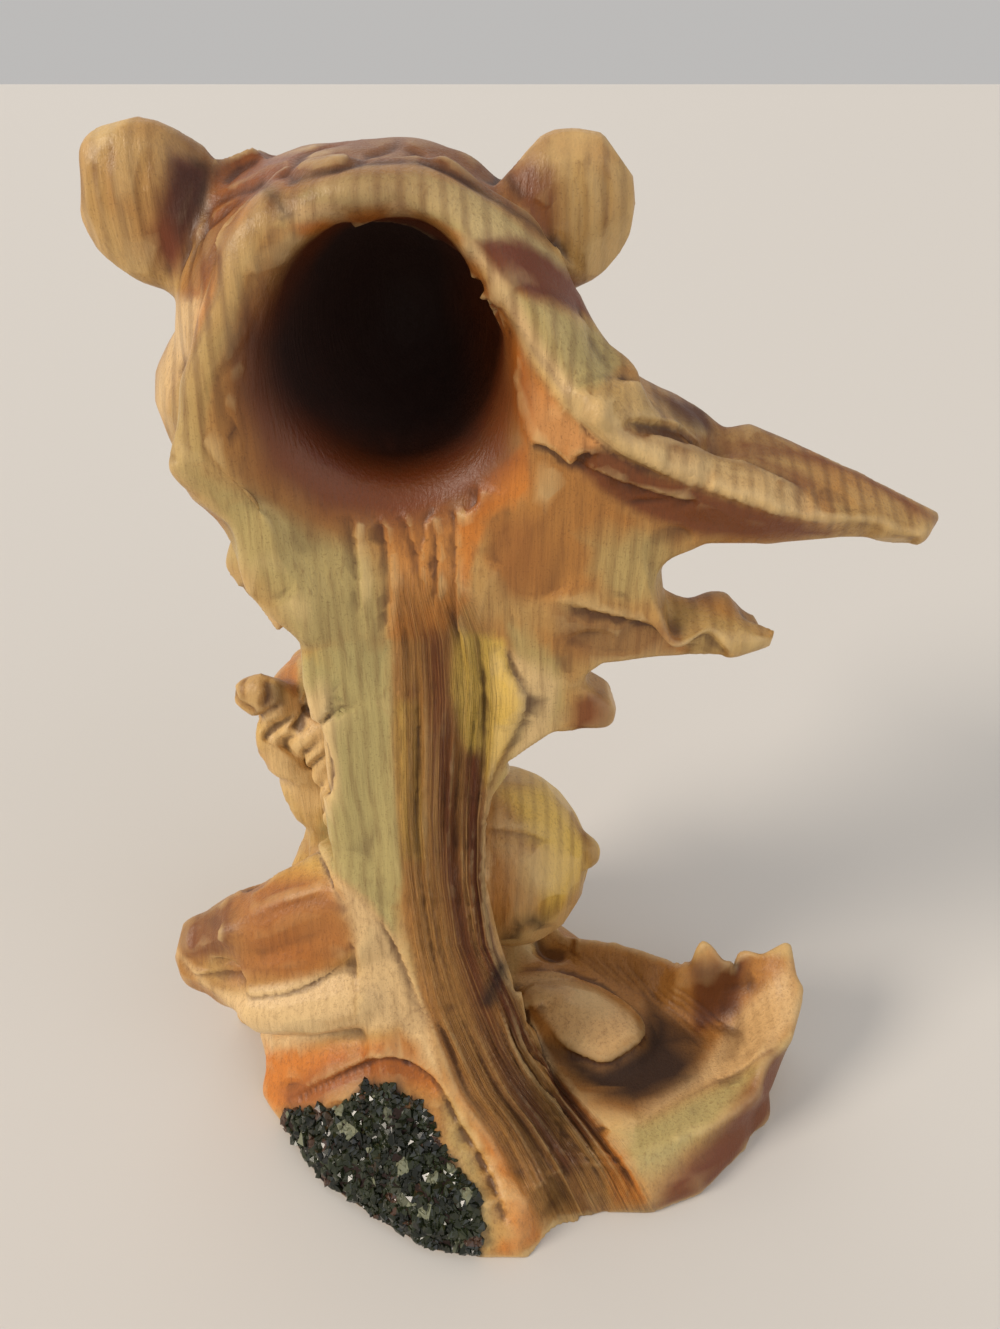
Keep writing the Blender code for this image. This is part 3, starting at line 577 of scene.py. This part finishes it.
PATCH_EDGE = [
    (279, 1134), (286, 1111), (303, 1106), (333, 1108), (345, 1103), (353, 1093), (366, 1081), (393, 1085),
    (409, 1095), (422, 1101), (428, 1115), (436, 1128), (439, 1146), (456, 1158), (464, 1178), (476, 1194),
    (481, 1212), (482, 1257), (464, 1261), (434, 1254), (398, 1236), (366, 1216), (335, 1194), (308, 1178),
    (293, 1163)]
SPUR_FACE = [(660, 598), (760, 626), (770, 652), (690, 657), (676, 630)]
TOE_OF_ROCK = [(592, 1130), (626, 1128), (650, 1206), (612, 1206)]
ZONES = [
    ("umber", 1.0, 8, PATCH_EDGE),
    ("umber", 0.7, 30, [(172, 160), (205, 164), (208, 178), (196, 220), (180, 240), (166, 210)]),
    ("red", 1.0, 26, [(172, 150), (205, 162), (214, 170), (206, 200), (192, 240), (176, 275), (158, 262),
     (150, 235), (160, 196)]),
    ("red", 0.85, 26, [(500, 172), (530, 160), (556, 165), (560, 200), (554, 240), (535, 240), (512, 205)]),
    ("orange", 0.8, 20, [(206, 170), (250, 146), (300, 150), (290, 186), (262, 186), (236, 222),
     (212, 240)]),
    ("red", 0.72, 14, [(216, 163), (225, 150), (300, 139), (380, 137), (440, 143), (495, 168), (524, 205),
     (556, 245), (530, 228), (490, 200), (440, 174), (380, 165), (320, 175), (290, 190), (262, 186),
     (236, 222), (222, 256), (208, 290), (184, 300), (200, 240), (208, 200)]),
    ("green", 0.9, 8, [(300, 190), (350, 174), (420, 172), (470, 190), (520, 228), (556, 256), (580, 280),
     (560, 276), (510, 262), (480, 245), (440, 220), (395, 203), (340, 205), (300, 208)]),
    ("red", 1.0, 14, [(474, 240), (520, 236), (575, 274), (594, 318), (556, 306), (506, 286)]),
    ("green", 0.8, 10, [(504, 290), (550, 306), (600, 332), (625, 362), (600, 384), (570, 394), (540, 352)]),
    ("tan", 0.6, 16, [(575, 330), (604, 333), (636, 364), (642, 387), (610, 370)]),
    ("pale", 0.35, 12, [(310, 182), (420, 176), (480, 196), (540, 250), (500, 250), (440, 216), (330, 202)]),
    ("pale", 0.3, 14, [(530, 380), (560, 410), (610, 446), (570, 456), (530, 440)]),
    ("orange", 0.9, 12, [(290, 222), (380, 212), (430, 228), (470, 262), (500, 310), (530, 370), (560, 410),
     (610, 446), (580, 452), (572, 462), (545, 442), (524, 444), (512, 400), (505, 340), (480, 290),
     (440, 250), (380, 226), (300, 236)]),
    ("tan", 1.0, 14, [(262, 190), (282, 216), (258, 260), (238, 316), (222, 330), (206, 330), (218, 284),
     (223, 246)]),
    ("green", 0.42, 9, [(262, 196), (278, 216), (264, 240), (246, 278), (236, 320), (216, 370), (206, 420),
     (200, 470), (210, 500), (190, 488), (166, 466), (171, 400), (194, 350), (218, 286), (223, 248)]),
    ("pale", 0.8, 12, [(178, 300), (204, 296), (190, 345), (170, 400), (158, 426), (152, 378), (168, 330)]),
    ("orange", 0.5, 14, [(190, 290), (210, 262), (212, 300), (196, 330)]),
    ("tan", 0.8, 26, [(266, 240), (290, 225), (262, 300), (250, 400), (262, 450), (300, 500), (380, 520),
     (330, 540), (250, 500), (215, 450), (222, 370), (245, 300)]),
    ("green", 0.8, 26, [(200, 480), (260, 500), (330, 535), (370, 560), (386, 640), (330, 650), (300, 650),
     (270, 590), (228, 560), (226, 520)]),
    ("orange", 0.55, 12, [(376, 512), (400, 500), (440, 496), (462, 515), (470, 600), (440, 640), (386, 640),
     (390, 570)]),
    ("orange", 0.9, 10, [(470, 490), (528, 440), (532, 494), (490, 516), (472, 560), (462, 610),
     (458, 520)]),
    # Red-brown on the wing's turned-down face below its ridge: its paint, and painted shade on that face.
    ("red", 0.9, 12, [(574, 464), (586, 448), (612, 450), (660, 476), (720, 497), (800, 521), (838, 534),
     (780, 540), (700, 536), (640, 514), (600, 490)]),
    ("tan", 0.9, 18, [(529, 446), (572, 462), (600, 490), (640, 520), (620, 560), (580, 600), (520, 600),
     (480, 560), (490, 516), (530, 494)]),
    ("red", 0.4, 30, [(490, 520), (545, 520), (548, 590), (500, 600)]),
    ("green", 0.6, 20, [(600, 530), (690, 540), (665, 562), (650, 600), (620, 600), (590, 570)]),
    ("red", 0.5, 16, [(550, 604), (626, 617), (672, 626), (690, 650), (630, 664), (590, 660), (560, 640)]),
    ("tan", 0.8, 12, SPUR_FACE),
    ("green", 0.5, 12, SPUR_FACE),
    ("red", 0.85, 12, [(575, 702), (600, 688), (614, 710), (608, 732), (575, 736)]),
    ("pale", 0.7, 14, [(506, 650), (560, 680), (550, 735), (510, 770), (524, 704)]),
    ("green", 0.7, 14, [(506, 620), (560, 660), (565, 720), (530, 750), (497, 790), (524, 704)]),
    ("green", 1.0, 10, [(298, 660), (301, 699), (318, 716), (333, 757), (336, 781), (320, 828), (321, 851),
     (333, 875), (365, 898), (395, 939), (402, 880), (392, 760), (390, 640), (340, 640)]),
    ("yellow", 0.8, 12, [(298, 655), (336, 650), (340, 690), (320, 705), (300, 698)]),
    ("pale", 0.9, 12, [(333, 875), (348, 910), (355, 939), (358, 972), (355, 1016), (300, 1030), (246, 1036),
     (250, 1058), (330, 1036), (400, 1026), (440, 1076), (427, 1016), (409, 972), (395, 939), (365, 898)]),
    ("red", 0.6, 24, [(280, 1090), (333, 1060), (400, 1044), (430, 1080), (345, 1100), (290, 1110)]),
    ("orange", 1.0, 24, [(236, 1036), (300, 1050), (400, 1040), (440, 1078), (470, 1110), (430, 1090),
     (400, 1080), (360, 1078), (345, 1100), (286, 1110), (266, 1124)]),
    ("tan", 0.7, 10, [(392, 620), (450, 600), (449, 690), (480, 780), (482, 860), (486, 930), (512, 1000),
     (560, 1085), (640, 1190), (640, 1215), (535, 1222), (490, 1130), (440, 1046), (420, 1000), (410, 940),
     (396, 860)]),
    ("yellow", 0.5, 10, [(394, 700), (418, 700), (424, 860), (402, 860)]),
    ("yellow", 1.0, 12, [(455, 630), (503, 640), (525, 704), (497, 763), (486, 787), (462, 740),
     (449, 690)]),
    ("umber", 0.3, 26, [(500, 1060), (540, 1080), (600, 1150), (620, 1204), (560, 1216), (524, 1160)]),
    ("orange", 0.8, 16, [(440, 1080), (500, 1150), (540, 1225), (546, 1240), (500, 1260), (486, 1200),
     (466, 1130)]),
    ("green", 0.5, 14, [(440, 1080), (470, 1120), (500, 1180), (512, 1236), (486, 1250), (478, 1190),
     (446, 1140)]),
    ("yellow", 0.9, 20, [(500, 790), (546, 785), (590, 850), (580, 880), (556, 916), (540, 920),
     (550, 860)]),
    ("tan", 0.8, 20, [(484, 850), (520, 856), (520, 910), (506, 960), (488, 900)]),
    # Pale and yellow on the cub's cheek and side are partly its straw paint and partly a painted highlight
    # where the light falls on it.
    ("pale", 0.7, 16, [(262, 700), (330, 690), (336, 780), (312, 830), (262, 760)]),
    ("yellow", 0.55, 20, [(250, 725), (290, 705), (330, 740), (332, 790), (312, 840), (284, 800)]),
    ("umber", 0.5, 8, [(266, 684), (284, 682), (286, 704), (272, 710)]),
    ("red", 0.75, 14, [(178, 925), (232, 898), (228, 955), (190, 958), (176, 945)]),
    ("orange", 0.6, 40, [(232, 898), (300, 870), (345, 882), (354, 950), (300, 980), (232, 982)]),
    ("red", 0.4, 40, [(216, 898), (290, 878), (345, 896), (352, 948), (300, 976), (226, 980)]),
    ("yellow", 0.5, 14, [(260, 876), (300, 856), (322, 858), (330, 874), (290, 884)]),
    ("pale", 1.0, 12, [(178, 952), (204, 986), (236, 994), (355, 965), (355, 1016), (250, 1044),
     (232, 1010)]),
    ("orange", 0.9, 12, [(234, 1030), (248, 1060), (268, 1110), (282, 1140), (256, 1110), (240, 1060)]),
    ("tan", 0.9, 12, [(515, 975), (560, 930), (690, 965), (712, 943), (800, 960), (795, 1030), (740, 1070),
     (690, 1092), (630, 1126), (590, 1110), (540, 1050)]),
    ("umber", 0.95, 30, [(545, 1044), (600, 1066), (640, 1044), (648, 1000), (706, 1040), (694, 1080),
     (640, 1108), (592, 1096)]),
    ("umber", 0.18, 36, [(555, 935), (690, 968), (740, 1000), (706, 1040), (640, 1000), (590, 968),
     (540, 965)]),
    ("pale", 0.6, 8, [(513, 976), (552, 973), (598, 990), (632, 1013), (641, 1031), (607, 1058),
     (563, 1042)]),
    ("pale", 0.7, 16, [(740, 1010), (790, 965), (802, 1010), (766, 1060), (690, 1092), (630, 1126),
     (640, 1108), (700, 1070)]),
    ("umber", 0.45, 24, [(690, 962), (748, 962), (738, 1010), (694, 1036)]),
    ("red", 0.8, 18, [(690, 962), (748, 955), (738, 1010), (694, 1036)]),
    ("green", 0.9, 18, [(612, 1130), (660, 1118), (720, 1086), (786, 1046), (760, 1072), (716, 1120),
     (672, 1160), (640, 1176)]),
    ("red", 0.95, 26, [(642, 1222), (664, 1184), (690, 1160), (724, 1122), (756, 1076), (770, 1050),
     (790, 1050), (776, 1120), (720, 1190), (650, 1226)]),
    ("yellow", 0.5, 16, TOE_OF_ROCK),
    ("orange", 0.9, 16, TOE_OF_ROCK),
    ("pale", 0.35, 6, [(606, 434), (672, 449), (725, 461), (772, 481), (806, 494), (838, 528), (788, 515),
     (732, 496), (685, 482), (645, 462)]),
    ("umber", 0.5, 14, [(655, 396), (706, 406), (716, 434), (690, 430)]),
    ("red", 0.9, 14, [(655, 392), (706, 406), (716, 434), (690, 424)]),
    ("red", 0.62, 9, [(612, 428), (665, 430), (722, 437), (760, 450), (816, 482), (806, 494), (771, 479),
     (725, 459), (672, 448), (626, 440)]),
    ("tan", 0.95, 16, [(820, 496), (920, 516), (935, 524), (918, 546), (840, 532)]),
    ("green", 0.4, 16, [(830, 500), (920, 516), (935, 524), (918, 546), (840, 532)]),
    # Umber and red-brown over the hollow are its paint, and also painted shade in its depth.
    ("umber", 0.94, 80, [(246, 340), (292, 262), (350, 228), (420, 234), (456, 276), (482, 325), (488, 390),
     (478, 440), (446, 455), (400, 464), (335, 448), (278, 420), (254, 390)]),
    ("red", 0.95, 50, [(232, 340), (286, 250), (350, 218), (420, 224), (478, 276), (516, 335), (528, 400),
     (518, 462), (476, 508), (400, 532), (316, 520), (258, 474), (234, 400)]),
    ("ringed", 1.0, 20, [(60, 100), (215, 150), (400, 150), (520, 170), (640, 120), (660, 330), (740, 420),
     (950, 510), (920, 560), (820, 530), (700, 500), (600, 440), (520, 330), (440, 215), (300, 205),
     (210, 460), (150, 470), (180, 300), (60, 250)]),
    ("ringed", 0.7, 20, [(480, 760), (620, 800), (610, 900), (500, 930)]),
    ("ringed", 0.6, 20, [(600, 500), (780, 620), (770, 680), (560, 640)]),
    ("ringed", 0.45, 14, [(298, 660), (318, 716), (336, 781), (320, 828), (333, 875), (395, 939), (380, 760),
     (380, 600), (300, 560), (230, 540)]),
    ("ringed", 0.8, 10, [(170, 930), (232, 898), (228, 955), (176, 950)])]
for name, strength, blur, pixels in ZONES:
    zone(name, strength, blur, pixels)

STROKES = [
    ("red", 11, 0.9, [(436, 640), (446, 780), (452, 880), (470, 960), (500, 1050), (570, 1160)]),
    ("red", 10, 1.0, [(474, 760), (474, 860), (488, 950), (520, 1030), (590, 1130)]),
    ("red", 4, 0.5, [(411, 690), (411, 860)]),
    ("red", 8, 0.7, [(290, 1098), (333, 1076), (377, 1057), (411, 1060)]),
    # This thin pale stroke down the trunk's right edge is a painted highlight.
    ("pale", 5, 0.9, [(484, 850), (487, 920), (500, 965), (522, 1010), (552, 1070)]),
    ("orange", 8, 0.9, [(560, 1090), (600, 1140), (642, 1198)]),
    ("umber", 4, 0.6, [(293, 186), (317, 177), (353, 169), (396, 164), (428, 168), (459, 180), (491, 198),
     (527, 224), (560, 250)]),
    ("yellow", 4, 0.9, [(284, 218), (352, 215), (400, 213), (440, 231), (490, 272), (530, 344), (570, 400),
     (612, 446)]),
    ("pale", 6, 1.0, [(284, 214), (352, 212), (400, 209), (440, 227), (490, 268), (530, 340), (570, 396),
     (612, 442)]),
    ("pale", 6, 0.9, [(300, 700), (318, 714), (333, 757), (336, 781), (320, 828), (333, 875), (350, 915)]),
    ("red", 6, 0.8, [(740, 444), (800, 456), (846, 470), (900, 500), (934, 520)]),
    ("red", 8, 0.6, [(560, 800), (585, 830), (594, 862)]),
    ("umber", 8, 0.8, [(488, 1000), (520, 920), (545, 930)]),
    ("umber", 6, 0.7, [(196, 166), (208, 172), (200, 200)]), ("umber", 4, 0.6, [(504, 172), (520, 196)]),
    ("red", 7, 0.6, [(236, 926), (270, 908), (310, 902), (345, 908)]),
    ("red", 6, 0.5, [(236, 968), (290, 966), (350, 946)]),
    ("red", 5, 0.7, [(233, 900), (229, 926), (231, 956)]), ("red", 6, 0.8, [(590, 707), (600, 700)]),
    ("umber", 5, 0.6, [(262, 186), (276, 200), (284, 214)])]
for name, width, strength, pixels in STROKES:
    mist(name, width, strength, pixels)


def dab(name, radius, strength, at):
    """A round airbrushed dab on the sides that face forwards; radius and place are in millimetres."""
    gap = np.linalg.norm(place - np.array(at) * MM, axis=1) / (radius * MM)
    t = np.clip(2.2 - 2.2 * gap, 0, 1)
    mask[name] = np.maximum(mask[name], strength * t * t * (3 - 2 * t))


DABS = [
    ("umber", 11, 1.0, (27, -113, 204)), ("umber", 5.5, 1.0, (44, -77, 210)),
    ("umber", 5.5, 1.0, (10, -77, 210)), ("umber", 5.5, 1.0, (46, -68, 101)),
    ("umber", 3.8, 1.0, (54, -52, 107)), ("umber", 3.8, 1.0, (37, -52, 107)),
    ("red", 46, 0.8, (27, -22, 252)), ("red", 14, 0.9, (69, -32, 233)), ("red", 14, 0.9, (-13, -32, 232)),
    ("pale", 30, 0.8, (27, -92, 190)), ("red", 26, 0.5, (27, -50, 236)), ("red", 20, 0.6, (68, -30, 196)),
    ("red", 20, 0.6, (-12, -30, 196)), ("orange", 40, 0.6, (27, -46, 160)), ("red", 22, 0.7, (25, -40, 138)),
    ("orange", 22, 0.6, (45, -36, 116)), ("pale", 14, 0.8, (46, -58, 96)), ("red", 16, 0.6, (48, -40, 74)),
    ("red", 20, 0.6, (12, -44, 50)), ("umber", 14, 0.5, (46, -36, 44)), ("red", 8, 0.7, (61, -22, 118)),
    ("red", 8, 0.7, (29, -25, 120)), ("tan", 34, 0.8, (30, -60, 10)), ("umber", 13, 0.6, (16, -58, 12)),
    ("umber", 13, 0.6, (46, -56, 12)), ("red", 30, 0.6, (-50, -20, 200)), ("red", 30, 0.6, (-50, -20, 150)),
    ("yellow", 26, 0.6, (-20, -30, 70)), ("orange", 20, 0.7, (84, -20, 20)),
    ("orange", 26, 0.7, (50, -66, 4))]
for name, radius, strength, at in DABS:
    dab(name, radius, strength, at)

# Deep in the hollow, on skin turned in towards its axis, umber and red-brown grow darker: the paint there,
# and painted shade of the recess.
x, y, z = (place / MM).T
near_axis = np.sqrt(((x - HOLLOW_X) / 27) ** 2 + ((z - HOLLOW_Z) / 31) ** 2)
turned_in = (HOLLOW_X - x) * normal[:, 0] + (HOLLOW_Z - z) * normal[:, 2] > 0
turned_in |= normal[:, 1] > 0.6
deep_paint_and_shade = (turned_in * np.clip((x + 6) / 24, 0.3, 1) * np.clip((z - 172) / 26, 0.3, 1)
        * np.clip((8 - y) / 26, 0, 1) * np.clip((1.12 - near_axis) * 4, 0, 1) * (y > -52))
mask["umber"] = np.maximum(mask["umber"], np.clip(deep_paint_and_shade * 1.3 - 0.1, 0, 0.94))
mask["red"] = np.maximum(mask["red"], np.clip(deep_paint_and_shade * 8, 0, 1))
left_u, right_u = trunk_edges(seen_v)
across = (seen_u - left_u) / (right_u - left_u)
down = seen_v / 1000
mask["striped"] = (open_to * np.clip(across * 4 + 0.1, 0, 1) * np.clip((1 - across) * 6 + 0.6, 0, 1)
                   * np.clip((seen_v - TRUNK_TOP) / 80, 0, 1) * np.clip((TRUNK_FOOT - seen_v) / 10, 0, 1))

# The skin's bend: above 0 in its hollows, below 0 on its edges. The material darkens the hollows with it as
# painted shade, and lightens the edges as a painted highlight.
around = np.zeros_like(place)
for a, b in (edge.T, edge.T[::-1]):
    for axis in range(3):
        around[:, axis] += np.bincount(a, weights=place[b, axis], minlength=len(place))
bend = evened(np.einsum("ij,ij->i", around / count[:, None] - place, normal) / MM, 2)

for name, values in {**mask, "bend": bend, "across": across, "down": down}.items():
    statue.data.attributes.new(name, "FLOAT", "POINT").data.foreach_set("value", values)

# The painted resin
# Wood-look polyester resin: straw paint with printed-looking growth rings 3 to 4 mm apart, fine fibres,
# brown antique wash left in the cuts, painted shade darkening the hollows of the skin, edges painted paler
# as a painted highlight, and a satin lacquer over all.
RING_SPACING = 3.6 * MM
FIBRE_WIDTH = 0.9 * MM
FIBRE_LENGTH = 14 * MM
CLOUD_SIZE = 26 * MM
GRIT_SIZE = 0.45 * MM
LINES_ACROSS = 34.0
LINES_ALONG = 3.0
LACQUER_ROUGHNESS = 0.41
# A colour mix has its ground at input 6, the colour laid over it at 7, and the blend at output 2.
GROUND, OVER, BLEND = 6, 7, 2


def linear(code):
    """An sRGB hex colour as linear numbers."""
    parts = [int(code[k:k + 2], 16) / 255 for k in (1, 3, 5)]
    return [c / 12.92 if c <= 0.04045 else ((c + 0.055) / 1.055) ** 2.4 for c in parts] + [1.0]


def add_node(tree, kind, feeds=None, **settings):
    """One node with its settings; each feed is a value, or the output that is linked to that input."""
    made = tree.nodes.new(kind)
    for name, value in settings.items():
        setattr(made, name, value)
    for name, value in (feeds or {}).items():
        if isinstance(value, bpy.types.NodeSocket):
            tree.links.new(value, made.inputs[name])
        else:
            made.inputs[name].default_value = value
    return made


def new_paint(name):
    """A new material, its node tree and its shader."""
    made = bpy.data.materials.new(name)
    made.use_nodes = True
    return made, made.node_tree, made.node_tree.nodes["Principled BSDF"]


resin, tree, shader = new_paint("Airbrushed wood-look resin")
spots = add_node(tree, "ShaderNodeTexCoord").outputs["Object"]
on_skin = {name: add_node(tree, "ShaderNodeAttribute", attribute_name=name).outputs["Fac"]
             for name in STAINS + ("wash", "bend", "across", "down")}
rings = add_node(tree, "ShaderNodeTexWave", {"Vector": spots, "Scale": math.pi / 10 / RING_SPACING,
                                             "Distortion": 5.0, "Detail": 2.0, "Detail Scale": 0.3},
                 bands_direction="X").outputs["Fac"]
clouds = add_node(tree, "ShaderNodeTexNoise", {"Vector": spots, "Scale": 1 / CLOUD_SIZE,
                                               "Detail": 3.0}).outputs["Fac"]
thinness = (1 / FIBRE_WIDTH, 1 / FIBRE_WIDTH, 1 / FIBRE_LENGTH)
stretched = add_node(tree, "ShaderNodeMapping", {"Vector": spots, "Scale": thinness}).outputs[0]
fibres = add_node(tree, "ShaderNodeTexNoise", {"Vector": stretched, "Scale": 1.0, "Detail": 4.0,
                                               "Roughness": 0.6}).outputs["Fac"]
grit = add_node(tree, "ShaderNodeTexNoise", {"Vector": spots, "Scale": 1 / GRIT_SIZE,
                                             "Detail": 2.0}).outputs["Fac"]
shared = add_node(tree, "ShaderNodeMath", {0: on_skin["across"], 1: LINES_ACROSS},
                  operation="MULTIPLY").outputs[0]
along = add_node(tree, "ShaderNodeMath", {0: on_skin["down"], 1: LINES_ALONG},
                      operation="MULTIPLY").outputs[0]
plane = add_node(tree, "ShaderNodeCombineXYZ", {"X": shared, "Y": along}).outputs[0]
lines = add_node(tree, "ShaderNodeTexNoise", {"Vector": plane, "Scale": 1.0, "Detail": 5.0,
                                              "Roughness": 0.65}, noise_dimensions="2D").outputs["Fac"]

# Each share is a value spread from one range to another.
SHARES = {
    "rings": (rings, 0.4, 0.95, 0.0, 0.55), "cloudy": (clouds, 0.35, 0.65, 0.4, 1.0),
    "ringed": (on_skin["ringed"], 0.0, 1.0, 0.25, 1.0), "warm": (clouds, 0.42, 0.62, 0.0, 1.0),
    "line ground": (on_skin["striped"], 0.0, 1.0, 0.0, 0.6), "fibres": (fibres, 0.5, 0.75, 0.0, 0.42),
    "grit": (grit, 0.58, 0.7, 0.0, 0.3), "dark lines": (lines, 0.48, 0.68, 0.0, 0.42),
    "pale lines": (lines, 0.48, 0.30, 0.0, 0.45), "line depth": (lines, 0.7, 0.3, 0.0, 1.0),
    # Shade in the hollows of the skin is painted from its bend.
    "wash": (on_skin["wash"], 0.15, 0.9, 0.0, 0.75), "shade in cuts": (on_skin["bend"], 0.02, 0.09, 0.0, 0.7),
    # A highlight on the edges of the skin is painted from its bend.
    "highlight on edges": (on_skin["bend"], -0.03, -0.12, 0.0, 0.42),
    "lacquer": (grit, 0.3, 0.7, LACQUER_ROUGHNESS - 0.06, LACQUER_ROUGHNESS + 0.08),
    "dulled": (on_skin["umber"], 0.3, 1.0, 0.0, 0.4),
}
share = dict(on_skin)
for name, (value, low, high, out_low, out_high) in SHARES.items():
    spread = add_node(tree, "ShaderNodeMapRange", {"Value": value, "From Min": low, "From Max": high,
                                                   "To Min": out_low, "To Max": out_high})
    share[name] = spread.outputs["Result"]

HELD_BACK = [("rings", "cloudy"), ("rings", "ringed"), ("dark lines", "striped"), ("pale lines", "striped"),
             ("line depth", "striped")]
for name, held in HELD_BACK:
    share[name] = add_node(tree, "ShaderNodeMath", {0: share[name], 1: share[held]},
                           operation="MULTIPLY").outputs[0]

wood = linear("#BC9659")
# Near the end of the layers, the skin's hollows are darkened as painted shade and its edges lightened as a
# painted highlight.
LAYERS = [
    ("warm", "#B07C3E"), ("tan", "#AE7434"), ("line ground", "#C48C48"), ("yellow", "#DDB654"),
    ("orange", "#CE7A28"), ("green", "#B7A468"), ("pale", "#E0BC85"), ("rings", "#6A4420"),
    ("red", "#6E320F"), ("fibres", "#683C1A"), ("grit", "#5A3416"), ("dark lines", "#5E2F12"),
    ("pale lines", "#DCA860"), ("wash", "#4A2612"), ("shade in cuts", "#45210D"), ("highlight on edges", "#E8C88C"),
    ("umber", "#200E07")]
for name, colour in LAYERS:
    wood = add_node(tree, "ShaderNodeMix", {0: share[name], GROUND: wood, OVER: linear(colour)},
                    data_type="RGBA").outputs[BLEND]
tree.links.new(wood, shader.inputs["Base Color"])
gloss = add_node(tree, "ShaderNodeMath", {0: share["lacquer"], 1: share["dulled"]}).outputs[0]
tree.links.new(gloss, shader.inputs["Roughness"])
RELIEF = [(grit, 0.35, 0.12), (fibres, 0.6, 0.4), (share["line depth"], 0.9, 1.2)]
bumps = None
for height, strength, distance in RELIEF:
    feeds = {"Height": height, "Strength": strength, "Distance": distance * MM}
    if bumps:
        feeds["Normal"] = bumps
    bumps = add_node(tree, "ShaderNodeBump", feeds).outputs[0]
tree.links.new(bumps, shader.inputs["Normal"])
shader.inputs["Specular IOR Level"].default_value = 0.4
statue.data.materials.clear()
statue.data.materials.append(resin)
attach(statue, "root")
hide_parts("bear_and_cub")

# The rough patch
# On the steep rock below the lobe the casting carries a crust of crushed dark grit, bedded in green-black
# paint and varnished. Each grain is a chipped lump one to four millimetres across.
GRAINS = 1700
GRAIN_REACH = 2.6 * MM
SPECKLE_SIZE = 3.0 * MM


def within(u, v, outline):
    """Whether a pixel lies inside an outline."""
    crossings = 0
    for (a, b), (c, d) in zip(outline, outline[1:] + outline[:1]):
        if (b > v) != (d > v) and u < a + (v - b) * (c - a) / (d - b):
            crossings += 1
    return crossings % 2 == 1


patch_mesh = bpy.data.meshes.new("rough_patch")
crust = bmesh.new()
made = 0
while made < GRAINS:
    u, v = dice.uniform(275, 490), dice.uniform(1078, 1264)
    point = spot(u, v)
    if point is None or not within(u, v, PATCH_EDGE):
        continue
    made += 1
    lump = bmesh.new()
    bmesh.ops.create_icosphere(lump, subdivisions=1, radius=dice.uniform(0.7, 1.8) * MM)
    for vert in lump.verts:
        vert.co *= dice.uniform(0.65, 1.3)
    bmesh.ops.scale(lump, vec=(dice.uniform(0.6, 1.4), dice.uniform(0.6, 1.2), dice.uniform(0.5, 1.2)),
                    verts=lump.verts)
    bmesh.ops.rotate(lump, cent=(0, 0, 0), matrix=Euler([dice.uniform(0, 6) for k in range(3)]).to_matrix(),
                     verts=lump.verts)
    bmesh.ops.translate(lump, vec=(point.x, point.y, max(point.z, GRAIN_REACH)), verts=lump.verts)
    lump.to_mesh(patch_mesh)
    lump.free()
    crust.from_mesh(patch_mesh)
crust.to_mesh(patch_mesh)
crust.free()
patch = put_in_scene("rough_patch", patch_mesh)

grit_paint, tree, shader = new_paint("Varnished crushed grit")
spots = add_node(tree, "ShaderNodeTexCoord").outputs["Object"]
cells = add_node(tree, "ShaderNodeTexVoronoi", {"Vector": spots, "Scale": 1 / SPECKLE_SIZE})
tone = add_node(tree, "ShaderNodeSeparateColor", {"Color": cells.outputs["Color"]})
look = linear("#0F120A")
SPECKLES = [(0.0, 1.0, "#2C321D"), (0.93, 0.95, "#7E8068"), (0.94, 0.96, "#4A3426")]
for k, (low, high, colour) in enumerate(SPECKLES):
    part = add_node(tree, "ShaderNodeMapRange", {"Value": tone.outputs[k], "From Min": low, "From Max": high})
    look = add_node(tree, "ShaderNodeMix", {0: part.outputs["Result"], GROUND: look, OVER: linear(colour)},
                    data_type="RGBA").outputs[BLEND]
tree.links.new(look, shader.inputs["Base Color"])
shader.inputs["Roughness"].default_value = 0.18
patch_mesh.materials.append(grit_paint)
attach(patch, "root")

# Floor and light
# A plain pale matte floor. A soft sun shines from the photograph's left and above, with a broad weak one from
# its right and another on the side that faces forwards, under an even pale sky.
FLOOR_REACH = 12.0
floor_clay = bmesh.new()
bmesh.ops.create_grid(floor_clay, x_segments=1, y_segments=1, size=FLOOR_REACH)
floor_mesh = bpy.data.meshes.new("floor")
floor_clay.to_mesh(floor_mesh)
floor_clay.free()
floor = put_in_scene("floor", floor_mesh)
floor_paint, tree, shader = new_paint("Pale floor")
shader.inputs["Base Color"].default_value = linear("#D7D3CD")
shader.inputs["Roughness"].default_value = 0.8
floor_mesh.materials.append(floor_paint)

LIGHTS = [
    ("Key", (0.74, 0.3, 0.5), 22.0, 2.15, "#FFF3E4"), ("Fill", (-0.6, 0.5, 0.4), 60.0, 0.6, "#F2F5FF"),
    ("Front", (0.3, -0.7, 0.55), 60.0, 0.35, "#FFF8F0")]
for name, shines_from, softness, power, colour in LIGHTS:
    lamp = bpy.data.lights.new(name, "SUN")
    lamp.angle = math.radians(softness)
    lamp.energy = power
    lamp.color = linear(colour)[:3]
    light = put_in_scene(name, lamp)
    light.location = shines_from
    light.rotation_euler = (-Vector(shines_from)).to_track_quat("-Z", "Y").to_euler()
world = bpy.data.worlds.new("Studio")
world.use_nodes = True
sky = world.node_tree.nodes["Background"]
sky.inputs["Color"].default_value = linear("#DAD8D6")
sky.inputs["Strength"].default_value = 0.72
bpy.context.scene.world = world
bpy.context.scene.view_settings.view_transform = "Standard"
